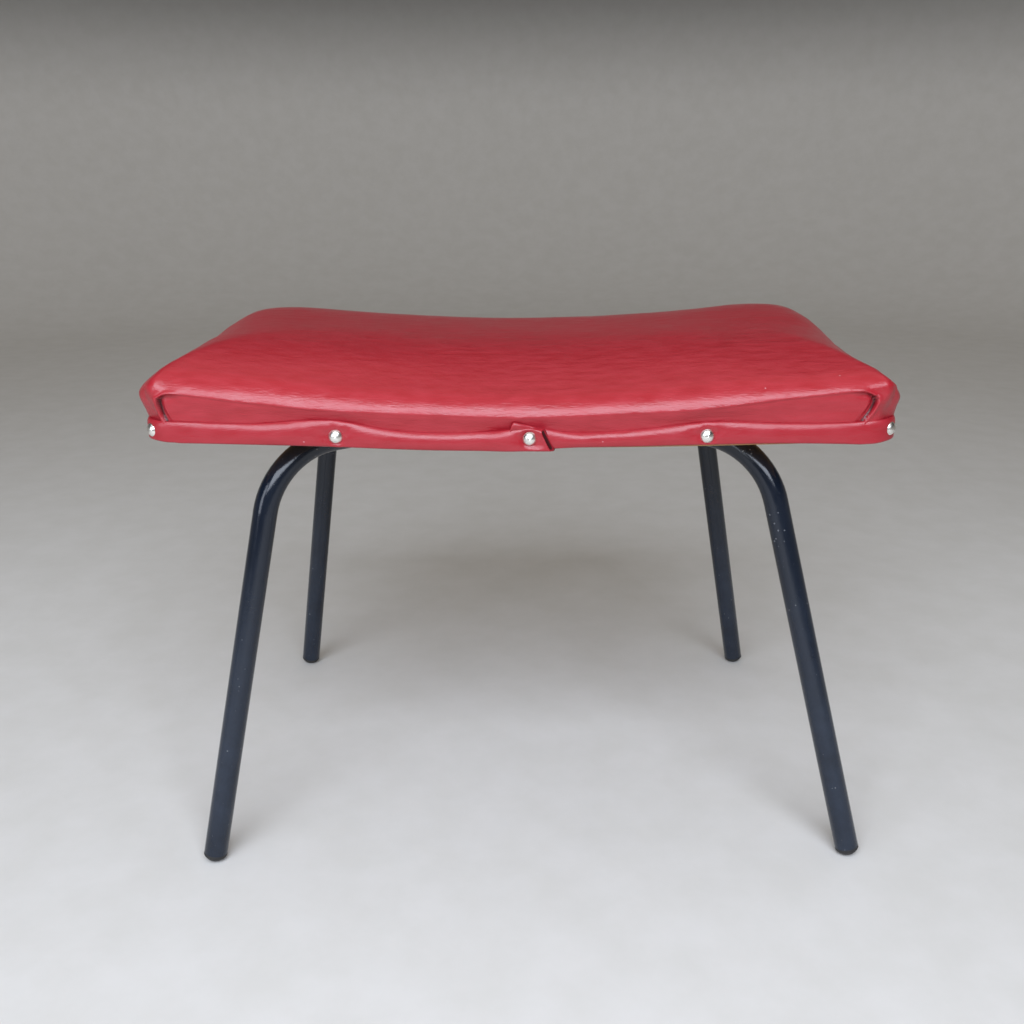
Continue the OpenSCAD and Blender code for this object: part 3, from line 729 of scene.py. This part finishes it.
# The band's upper and lower edge along the front, over the board's underside, and its nails
BAND_X = np.array([-292, -273, -208, -139, -100, -61, -22, 8, 37, 88, 144, 210, 250, 270, 292]) * MM
BAND_TOP = MM * np.array(
    [22.6, 22.2, 20.2, 22.4, 15.2, 12.6, 13.9, 16.9, 13.3, 14.7, 20.9, 19.7, 20.2, 21.7, 22.6]
)
BAND_LOW = np.array([4.9, 4.9, 3.6, 1.6, -0.1, -1.3, -1.6, -1.2, 0.6, 1.7, 3.0, 3.9, 3.3, 2.8, 4.0]) * MM
FRONT_NAILS = np.array([-0.49, 0.028, 0.5]) * HALF_W
BACK_NAILS = np.array([-0.5, 0, 0.5]) * HALF_W
SIDE_NAILS = np.array([-0.34, 0.34]) * HALF_D


def soft_curve(xs, ys, at):
    """A smooth curve through chosen points."""
    slopes = np.gradient(ys, xs)
    k = np.clip(np.searchsorted(xs, at) - 1, 0, len(xs) - 2)
    h = xs[k + 1] - xs[k]
    t = np.clip((at - xs[k]) / h, 0, 1)
    h00, h10 = 2 * t**3 - 3 * t**2 + 1, t**3 - 2 * t**2 + t
    h01, h11 = -2 * t**3 + 3 * t**2, t**3 - t**2
    return h00 * ys[k] + h10 * h * slopes[k] + h01 * ys[k + 1] + h11 * h * slopes[k + 1]


def nearest(at, nails):
    """Signed distance to the nearest nail."""
    gaps = np.asarray(at)[:, None] - nails[None, :]
    return gaps[np.arange(len(gaps)), np.argmin(np.abs(gaps), axis=1)]


def band_stations(s):
    """Along the band once round from its covered end: x, y and the outward direction's angle."""
    spots = []

    def straight(x0, y0, x1, y1, angle):
        count = max(2, int(math.hypot(x1 - x0, y1 - y0) / s.spacing))
        for t in np.linspace(0, 1, count + 1):
            spots.append((x0 + (x1 - x0) * t, y0 + (y1 - y0) * t, angle))

    def corner(cx, cy, start):
        for turn in np.linspace(0, math.pi / 2, 23)[1:-1]:
            a = start + turn
            spots.append((cx + CORNER_R * math.cos(a), cy + CORNER_R * math.sin(a), a))

    q = math.pi / 2
    straight(s.lap_start, -HALF_D, STRAIGHT_X, -HALF_D, -q)
    corner(STRAIGHT_X, -STRAIGHT_Y, -q)
    straight(HALF_W, -STRAIGHT_Y, HALF_W, STRAIGHT_Y, 0)
    corner(STRAIGHT_X, STRAIGHT_Y, 0)
    straight(STRAIGHT_X, HALF_D, -STRAIGHT_X, HALF_D, q)
    corner(-STRAIGHT_X, STRAIGHT_Y, q)
    straight(-HALF_W, STRAIGHT_Y, -HALF_W, -STRAIGHT_Y, 2 * q)
    corner(-STRAIGHT_X, -STRAIGHT_Y, 2 * q)
    straight(-STRAIGHT_X, -HALF_D, s.lap_end, -HALF_D, 3 * q)
    return np.array(spots).T


def band_section():
    """Shares of thickness and height round the folded strip, from its inner lower edge over the face."""
    lower = [(0.0, 0.08), (0.12, 0.02), (0.45, 0.0), (0.82, 0.02)]
    face = [(1.0, h) for h in np.linspace(0.07, 0.66, 17)]
    # The folded edge is a soft roll that takes up the top third
    turns = np.radians(np.linspace(6, 90, 16))
    roll = [(0.1 + 0.9 * math.cos(a) ** 0.8, 0.67 + 0.33 * math.sin(a) ** 0.9) for a in turns]
    return np.array(lower + face + roll + [(0.0, 0.97), (0.0, 0.86), (0.0, 0.4)])


class STOOL_OT_trim_band(bpy.types.Operator):
    """Builds the folded vinyl band with its puffed spans and its lapped end"""

    bl_idname = "stool.trim_band"
    bl_label = "Build the trim band"

    def execute(self, context):
        s = context.scene.stool_band
        x, y, angle = band_stations(s)
        count = len(x)
        run = np.concatenate([[0], np.cumsum(np.hypot(np.diff(x), np.diff(y)))])
        front = np.abs(np.sin(angle) + 1) < 0.002
        back = np.abs(np.sin(angle) - 1) < 0.002
        side = np.abs(np.cos(angle)) > 0.999
        straight = front | back | side
        late = np.arange(count) > count // 2
        first, on_top = front & ~late, front & late
        to_end = np.where(on_top, run[-1] - run, 1.0)
        from_start = np.where(first, run, 1.0)

        # The back edges mirror the front ones, and the side ones sag a little
        backward = smooth(-STRAIGHT_Y, STRAIGHT_Y, y)
        top, low = (
            soft_curve(BAND_X, edge, x) * (1 - backward) + soft_curve(BAND_X, edge, -x) * backward
            for edge in (BAND_TOP, BAND_LOW)
        )
        between = 1 - bell(nearest(y, SIDE_NAILS), 24 * MM)
        side_sag = 2.4 * MM * between * smooth(1.0, 0.7, np.abs(y) / HALF_D)
        top = top - np.where(side, side_sag, 0.0)
        # The lower edge rises a little where it goes round a corner
        corner_way = 1 - np.abs(np.abs(np.degrees(angle)) % 90 - 45) / 45
        side_end = smooth(STRAIGHT_Y - 60 * MM, STRAIGHT_Y, np.abs(y))
        long_end = smooth(STRAIGHT_X - 8 * MM, STRAIGHT_X, np.abs(x))
        before = 0.35 * np.where(side, side_end, long_end)
        low = low + 1.5 * MM * np.where(straight, before, 0.35 + 0.65 * smooth(0.0, 0.9, corner_way))
        # The covered end's tip stands over the band
        flap = np.clip(1 - from_start / s.flap_run, 0.0, 1.0) * smooth(-2 * MM, 3 * MM, from_start)
        top = top + s.flap_rise * flap
        low = low + 1.4 * MM * smooth(20 * MM, 0.0, from_start)

        # Nails and corners draw the band in, and it stands off between them
        other_gap = np.where(back, nearest(x, BACK_NAILS), nearest(y, SIDE_NAILS))
        gap = np.where(front, nearest(x, FRONT_NAILS), other_gap)
        drawn = np.where(straight, bell(gap, 17 * MM), smooth(0.0, 0.8, corner_way))
        near_corner = np.where(side, np.abs(y) / HALF_D, np.abs(x) / HALF_W)
        slack = (1 - drawn) * np.where(straight, smooth(1.02, 0.55, near_corner), 0.0)
        lapped = np.where(on_top, smooth(s.lap_start - 30 * MM, s.lap_start + 2 * MM, x), 0.0)
        lift = lapped * (s.thickness + 0.3 * MM)
        flare = np.where(on_top, bell(to_end, 6 * MM), 0.0)

        # The nails sit a little above the middle of the board's edge
        nail_z = 0.64 * BOARD_T + under_z(x) - UNDER_Z
        section = band_section()
        per_metre = 38.0
        waves = np.array([noise.noise(Vector((r * per_metre, 0.3, 0.7))) for r in run])
        rings = []
        for share_t, share_h in section:
            puff = math.sin(math.pi * min(1.0, share_h * 1.02)) ** 0.8 * share_t
            bulge = s.puff * slack * puff * (1 + 0.5 * waves)
            # Puckers run out from each nail, strongest just past its head
            height = low + (top - low) * share_h
            across = height - nail_z
            far = np.hypot(gap, across)
            way = np.arctan2(across, gap)
            pucker = np.cos(5 * way + 0.8) * bell(far - 9 * MM, 6 * MM) * straight
            dimple = smooth(9 * MM, 5 * MM, far) * straight
            out = 1.8 * MM + lift + share_t * (s.thickness + flare * s.flare)
            gathered = (s.pucker * pucker + 0.6 * MM * drawn) * (1 - dimple)
            pressed = (0.35 + 0.8 * lapped) * MM * dimple
            out = out + bulge + share_t * (gathered - pressed)
            slant = s.lap_slant * (1 - share_h) * smooth(14 * MM, 0.0, to_end)
            peel = s.peel * (1 - share_t) * smooth(5 * MM, 0.0, to_end)
            tip = 1.5 * MM * share_h * smooth(12 * MM, 0.0, from_start)
            curl = 3.4 * MM * smooth(0.55, 1.0, share_h) * smooth(24 * MM, 2 * MM, from_start)
            out = out + np.where(first, curl, 0.0)
            px = x + out * np.cos(angle) + np.where(on_top, slant + peel, 0.0) + np.where(first, tip, 0.0)
            rings.append(np.column_stack([px, y + out * np.sin(angle), UNDER_Z + height]))
        points = np.stack(rings, 1).reshape(-1, 3)
        n = len(section)
        faces = [
            (k * n + m, k * n + (m + 1) % n, (k + 1) * n + (m + 1) % n, (k + 1) * n + m)
            for k in range(count - 1)
            for m in range(n)
        ]
        faces.append(tuple(reversed(range(n))))
        closed = len(points)
        points, faces = self.open_end(points, faces, (count - 1) * n, n)
        # Painted shade in the band's hollow cut end: slight on the first ring of its mouth, full on the
        # rings inside
        painted_shade = np.concatenate([np.zeros(closed), np.full(n, 0.1), np.full(2 * n, 1.0)])
        vinyl = calendered_vinyl("folded_vinyl_trim", s, bump_mm=0.22)
        band = show_mesh("trim_band_vinyl", points, faces, [vinyl], painted_shade)
        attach(band, "root")
        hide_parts("trim_band")
        return {"FINISHED"}

    def open_end(self, points, faces, first, n):
        """Adds the hollow between the band's two layers, open at the cut end."""
        ring = points[first : first + n]
        centre = ring.mean(0)
        spread = ring - centre
        # The cut is slanted, so an inner ring stays on its plane
        lean = np.linalg.lstsq(spread[:, 1:], spread[:, 0], rcond=None)[0]
        half = np.ptp(spread[:, 1:], axis=0) / 2
        mouths = []
        for wall, depth in ((MM, 0.0), (1.25 * MM, 0.5 * MM), (2.2 * MM, 1.6 * MM)):
            inner = spread[:, 1:] * np.maximum(0.15, 1 - wall / half)
            mouths.append(centre + np.column_stack([inner @ lean - depth, inner]))
        start = len(points)
        points = np.vstack([points, *mouths])
        runs = [first, start, start + n, start + 2 * n]
        for above, below in zip(runs, runs[1:]):
            for m in range(n):
                after = (m + 1) % n
                faces.append((above + m, above + after, below + after, below + m))
        faces.append(tuple(runs[-1] + m for m in range(n)))
        return points, faces


# Pieces kept from the frame


def finish(material, *names):
    """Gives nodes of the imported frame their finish."""
    for name in names:
        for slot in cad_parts[name].material_slots:
            slot.material = material


class STOOL_OT_tube_frame(bpy.types.Operator):
    """Enamels the bent tubes and their welds"""

    bl_idname = "stool.tube_frame"
    bl_label = "Finish the tube frame"

    def execute(self, context):
        base = context.scene.stool_frame.enamel
        # 252E3C is the lighter blue-grey of the lower legs: dust, and a painted reflection of the floor
        enamel = stoved_enamel("stoved_enamel_on_steel", base, "#252E3C", "#7C7F82")
        finish(enamel, "through_tube", "front_right_tube", "rear_left_tube", "crossing_welds")
        return {"FINISHED"}


class STOOL_OT_fasteners(bpy.types.Operator):
    """Plates the dome nails, the screws and washers, and blues the cover's tacks"""

    bl_idname = "stool.fasteners"
    bl_label = "Finish the fasteners"

    def execute(self, context):
        s = context.scene.stool_frame
        nickel = plated_steel("nickel_plated_steel", s.nickel, "#A5A198", roughness=0.22, tarnish_mm=5)
        zinc = plated_steel("zinc_plated_steel", "#A9ABAA", "#77756F", roughness=0.34, tarnish_mm=4)
        blued = plated_steel("blued_steel", "#30343C", "#20201F", roughness=0.35, tarnish_mm=3)
        finish(nickel, "dome_nails")
        finish(zinc, "frame_screws", "screw_washers")
        finish(blued, "cover_tacks")
        return {"FINISHED"}


class STOOL_OT_seat_board(bpy.types.Operator):
    """Gives the bent board its plywood"""

    bl_idname = "stool.seat_board"
    bl_label = "Finish the board"

    def execute(self, context):
        light = context.scene.stool_frame.plywood
        finish(rotary_cut_plywood("rotary_cut_plywood", light, "#9A7040", "#7C5630"), "seat_board")
        return {"FINISHED"}


class STOOL_OT_feet(bpy.types.Operator):
    """Gives the four foot plugs their rubber"""

    bl_idname = "stool.feet"
    bl_label = "Finish the feet"

    def execute(self, context):
        rubber = moulded_rubber("moulded_black_rubber", context.scene.stool_frame.rubber, "#5A5853")
        finish(rubber, "front_left_foot", "front_right_foot", "rear_left_foot", "rear_right_foot")
        return {"FINISHED"}


# The stage


def lamp(name, place, target, power, size):
    """A soft rectangular lamp aimed at a point, not seen itself."""
    data = bpy.data.lights.new(name, "AREA")
    data.energy = power
    data.shape = "RECTANGLE"
    data.size, data.size_y = size
    data.color = linear("#E9F1FF")[:3]
    made = bpy.data.objects.new(name, data)
    made.location = place
    made.rotation_euler = (Vector(target) - Vector(place)).to_track_quat("-Z", "Y").to_euler()
    made.visible_camera = False
    bpy.context.scene.collection.objects.link(made)


class STOOL_OT_stage(bpy.types.Operator):
    """Lays the floor, hangs the lamps and sets the camera"""

    bl_idname = "stool.stage"
    bl_label = "Set the stage"

    def execute(self, context):
        s = context.scene.stool_stage
        scene = context.scene
        paint = matt_backdrop("matt_painted_floor", s.floor, s.floor_fleck, s.upper_wall)
        # A round floor that curves up into a wall, so that no edge shows from any side
        flat_r, bend_r, wall_h, around = 3.0, 1.2, 4.5, 96
        bends = np.linspace(0.2, math.pi / 2, 8)
        radii = [1.0, 2.2, flat_r] + [flat_r + bend_r * math.sin(a) for a in bends] + [flat_r + bend_r]
        heights = [0.0, 0.0, 0.0] + [bend_r - bend_r * math.cos(a) for a in bends] + [wall_h]
        turns = [2 * math.pi * k / around for k in range(around)]
        points = [(0.0, 0.0, 0.0)]
        for r, z in zip(radii, heights):
            points += [(r * math.cos(a), r * math.sin(a), z) for a in turns]
        faces = [(0, 1 + k, 1 + (k + 1) % around) for k in range(around)]
        rings = [range(1 + k * around, 1 + (k + 1) * around) for k in range(len(radii))]
        for inner, outer in zip(rings, rings[1:]):
            faces += ring_faces(inner, outer)
        floor = show_mesh("studio_floor", points, faces, [paint])

        world = bpy.data.worlds.new("soft_studio_light")
        world.use_nodes = True
        scene.world = world
        tree = world.node_tree
        tree.nodes.clear()
        sky = add(tree, "ShaderNodeBackground", None, {"Color": linear("#FFF6E9"), "Strength": s.sky})
        add(tree, "ShaderNodeOutputWorld", None, {"Surface": sky.outputs[0]})

        lamp("front_softbox", (-0.02, -1.5, 1.46), (0, -0.05, 0.42), s.front_power, (1.9, 1.3))
        lamp("left_softbox", (-2.0, -2.1, 1.05), (-0.1, 0, 0.35), s.left_power, (1.0, 1.3))

        data = bpy.data.cameras.new("photo_view")
        data.sensor_fit = "HORIZONTAL"
        data.sensor_width = 36.0
        data.lens = s.lens
        camera = bpy.data.objects.new("photo_view", data)
        scene.collection.objects.link(camera)
        yaw, pitch, roll = math.radians(-0.94), math.radians(18.9), math.radians(0.34)
        level = math.cos(pitch)
        forward = Vector((math.sin(yaw) * level, math.cos(yaw) * level, -math.sin(pitch)))
        right = Vector((math.cos(yaw), -math.sin(yaw), 0))
        down = forward.cross(right)
        across = math.cos(roll) * right + math.sin(roll) * down
        below = -math.sin(roll) * right + math.cos(roll) * down
        turn = Matrix((across, -below, -forward)).transposed().to_4x4()
        camera.matrix_world = Matrix.Translation((6.74 * MM, -945.7 * MM, 579.8 * MM)) @ turn
        scene.camera = camera
        scene.view_settings.view_transform = "Standard"
        return {"FINISHED"}


# Panel and run


OPERATORS = (
    STOOL_OT_stage,
    STOOL_OT_cushion,
    STOOL_OT_trim_band,
    STOOL_OT_tube_frame,
    STOOL_OT_fasteners,
    STOOL_OT_seat_board,
    STOOL_OT_feet,
)
GROUPS = {
    "stool_cushion": StoolCushionSettings,
    "stool_band": StoolBandSettings,
    "stool_frame": StoolFrameSettings,
    "stool_stage": StoolStageSettings,
}


class STOOL_PT_panel(bpy.types.Panel):
    """Settings and steps of the stool"""

    bl_idname = "STOOL_PT_panel"
    bl_label = "Stool"
    bl_space_type = "VIEW_3D"
    bl_region_type = "UI"
    bl_category = "Stool"

    def draw(self, context):
        for name in GROUPS:
            group = getattr(context.scene, name)
            box = self.layout.box()
            for key in group.__annotations__:
                box.prop(group, key)
        for operator in OPERATORS:
            self.layout.operator(operator.bl_idname)


def register():
    for group in GROUPS.values():
        bpy.utils.register_class(group)
    for operator in OPERATORS:
        bpy.utils.register_class(operator)
    bpy.utils.register_class(STOOL_PT_panel)
    for name, group in GROUPS.items():
        setattr(bpy.types.Scene, name, PointerProperty(type=group))


def unregister():
    for name in GROUPS:
        delattr(bpy.types.Scene, name)
    bpy.utils.unregister_class(STOOL_PT_panel)
    for operator in reversed(OPERATORS):
        bpy.utils.unregister_class(operator)
    for group in reversed(list(GROUPS.values())):
        bpy.utils.unregister_class(group)


def main():
    register()
    for operator in OPERATORS:
        name = operator.bl_idname.split(".")[1]
        getattr(bpy.ops.stool, name)()


if __name__ == "__main__":
    main()
